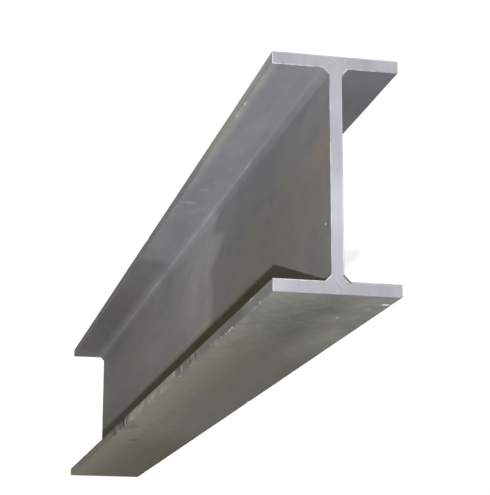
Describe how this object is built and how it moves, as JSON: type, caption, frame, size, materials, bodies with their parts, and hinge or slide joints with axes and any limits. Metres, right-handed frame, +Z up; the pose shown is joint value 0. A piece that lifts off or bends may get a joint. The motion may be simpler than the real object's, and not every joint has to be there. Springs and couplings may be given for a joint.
{
  "type": "steel h-beam",
  "caption": "Straight length of steel H-section with parallel flanges, a flat web and bevelled roots, sawn square at both ends, for use as a beam or column.",
  "frame": {"origin": "under the middle of the beam, on the face of the bottom flange that it stands on", "axes": "+X along the beam, +Y across its flanges, +Z up through its web"},
  "size_m": [2, 0.16, 0.3],
  "materials": {
    "mill_steel": "matt mill finish with rolling streaks, bright at the sawn ends"
  },
  "bodies": {
    "root": {"h_beam": "mill_steel"}
  },
  "joints": []
}
